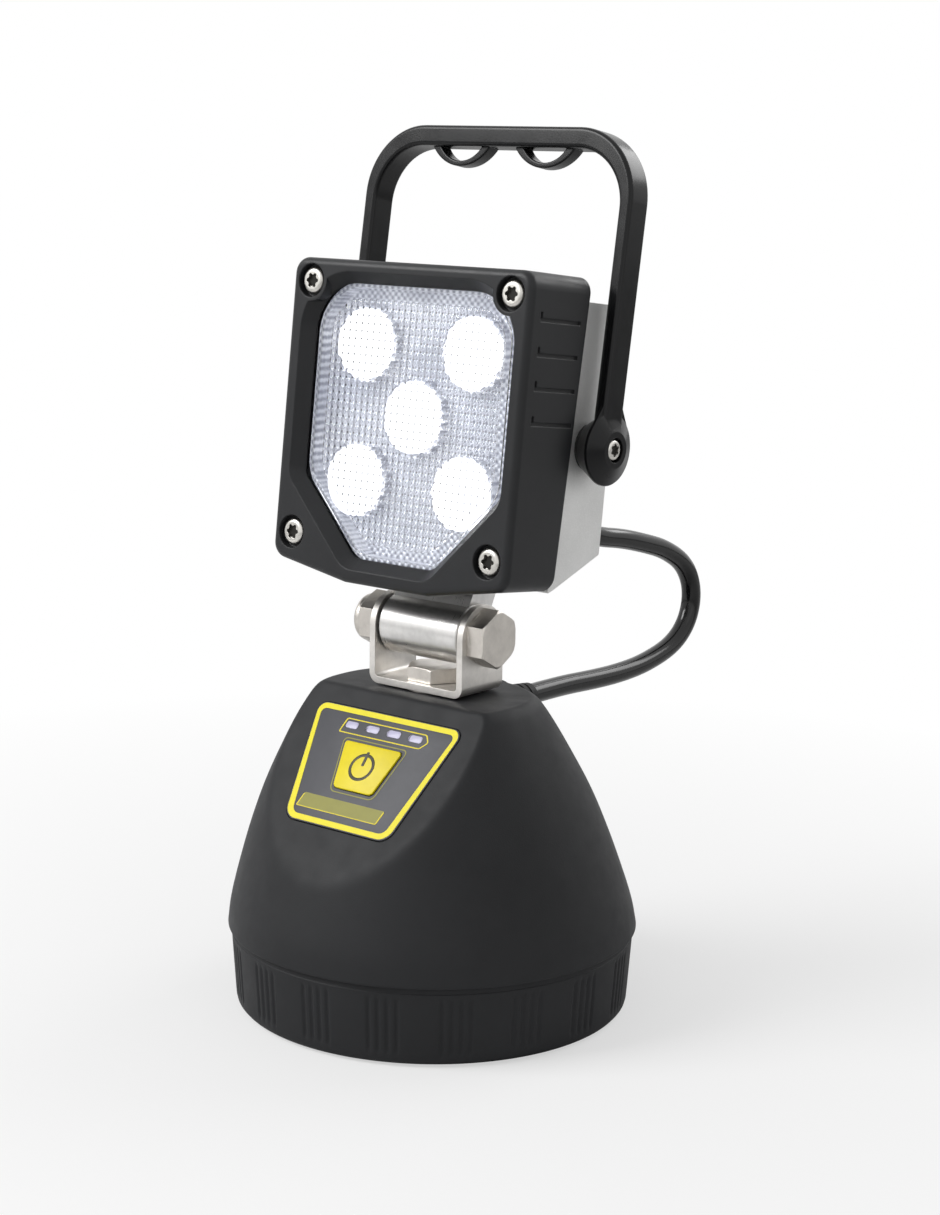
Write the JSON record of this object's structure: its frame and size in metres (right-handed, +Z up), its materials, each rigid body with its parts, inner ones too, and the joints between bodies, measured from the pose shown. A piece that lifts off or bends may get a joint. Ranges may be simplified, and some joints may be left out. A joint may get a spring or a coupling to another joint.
{
  "type": "work light",
  "caption": "Cordless LED work light: round magnetic battery base, swivelling bracket, tilting square lamp head and a swinging carrying handle.",
  "frame": {"origin": "centre of the base's underside, where its pad rests", "axes": "+Z up through the base, front of the lamp and its switch panel towards -Y, +X to the right seen from the front"},
  "size_m": [0.13, 0.2079, 0.2736],
  "materials": {
    "base_plastic": "fine moulded grain, low sheen",
    "zinc_steel": "bright zinc",
    "magnet_ceramic": "matt ceramic",
    "pad_rubber": "matt",
    "cell_wrap": "shrink wrap",
    "black_plastic": "satin",
    "circuit_board": "solder mask",
    "switch_body": "glossy",
    "switch_cap": "glossy",
    "clear_plastic": "clear moulded",
    "indicator_window": "translucent",
    "panel_print": "printed film",
    "nickel": "plated",
    "gland_rubber": "matt moulded",
    "stainless": "stainless",
    "cable_jacket": "smooth jacket",
    "key_rubber": "satin",
    "washer_black": "matt",
    "die_cast_silver": "painted silver",
    "bezel_black": "fine grain",
    "screw_steel": "machined",
    "lens_clear": "prismatic clear",
    "gasket_rubber": "matt",
    "reflector_bright": "vacuum plated",
    "white_board": "white solder mask",
    "emitter": "phosphor",
    "thermal_grey": "soft pad",
    "handle_black": "fine grain"
  },
  "bodies": {
    "base": {"base_housing": "base_plastic", "skirt_ring": "base_plastic", "bottom_cover": "base_plastic", "cover_screws": "zinc_steel", "magnet_cup": "zinc_steel", "ring_magnet": "magnet_ceramic", "cup_screws": "zinc_steel", "rubber_foot_pad": "pad_rubber", "battery_cells": "cell_wrap", "battery_tray": "black_plastic", "battery_cap": "black_plastic", "control_board": "circuit_board", "board_screws": "zinc_steel", "tactile_switch": "switch_body", "indicator_leds": "clear_plastic", "led_windows": "indicator_window", "panel_overlay": "panel_print", "dc_socket": "black_plastic", "dc_socket_nut": "nickel", "base_cable_gland": "gland_rubber", "support_plate": "zinc_steel", "swivel_bolt": "stainless", "swivel_nut": "stainless", "swivel_washer": "stainless", "cable_lower": "cable_jacket"},
    "power_key": {"power_button": "key_rubber", "switch_plunger": "switch_cap"},
    "socket_plug": {"dust_plug": "gland_rubber"},
    "bracket": {"u_bracket": "stainless", "pivot_bolt": "stainless", "pivot_nut": "stainless", "friction_washers": "washer_black"},
    "lamp_head": {"tilt_knuckle": "stainless", "knuckle_screws": "stainless", "heat_sink_housing": "die_cast_silver", "front_bezel": "bezel_black", "bezel_screws": "screw_steel", "lens": "lens_clear", "lens_gasket": "gasket_rubber", "reflector_plate": "reflector_bright", "optics": "clear_plastic", "led_board": "white_board", "led_emitters": "emitter", "thermal_pad": "thermal_grey", "driver_board": "circuit_board", "head_cable_gland": "gland_rubber", "handle_screws": "screw_steel", "handle_washers": "washer_black", "cable_upper": "cable_jacket"},
    "carry_handle": {"handle": "handle_black"}
  },
  "joints": [
    {"name": "bracket_swivel", "type": "hinge", "parent": "base", "child": "bracket", "pos_m": [0, 0, 0.1026], "axis": [0, 0, 1], "range_deg": [-60, 60], "deforming": ["cable_lower"]},
    {"name": "head_tilt", "type": "hinge", "parent": "bracket", "child": "lamp_head", "pos_m": [0, 0, 0.1198], "axis": [1, 0, 0], "range_deg": [-50, 55], "deforming": ["cable_upper"]},
    {"name": "handle_swing", "type": "hinge", "parent": "lamp_head", "child": "carry_handle", "pos_m": [0, 0.01744, 0.17919], "axis": [1, 0, 0], "range_deg": [-100, 100]},
    {"name": "power_press", "type": "slide", "parent": "base", "child": "power_key", "axis": [0, 0.766, -0.6428], "range_m": [0, 0.0007], "stiffness_N_per_m": 1500, "springref_m": -0.0005},
    {"name": "dust_plug_pull", "type": "slide", "parent": "base", "child": "socket_plug", "axis": [0, 1, 0], "range_m": [0, 0.01]}
  ]
}
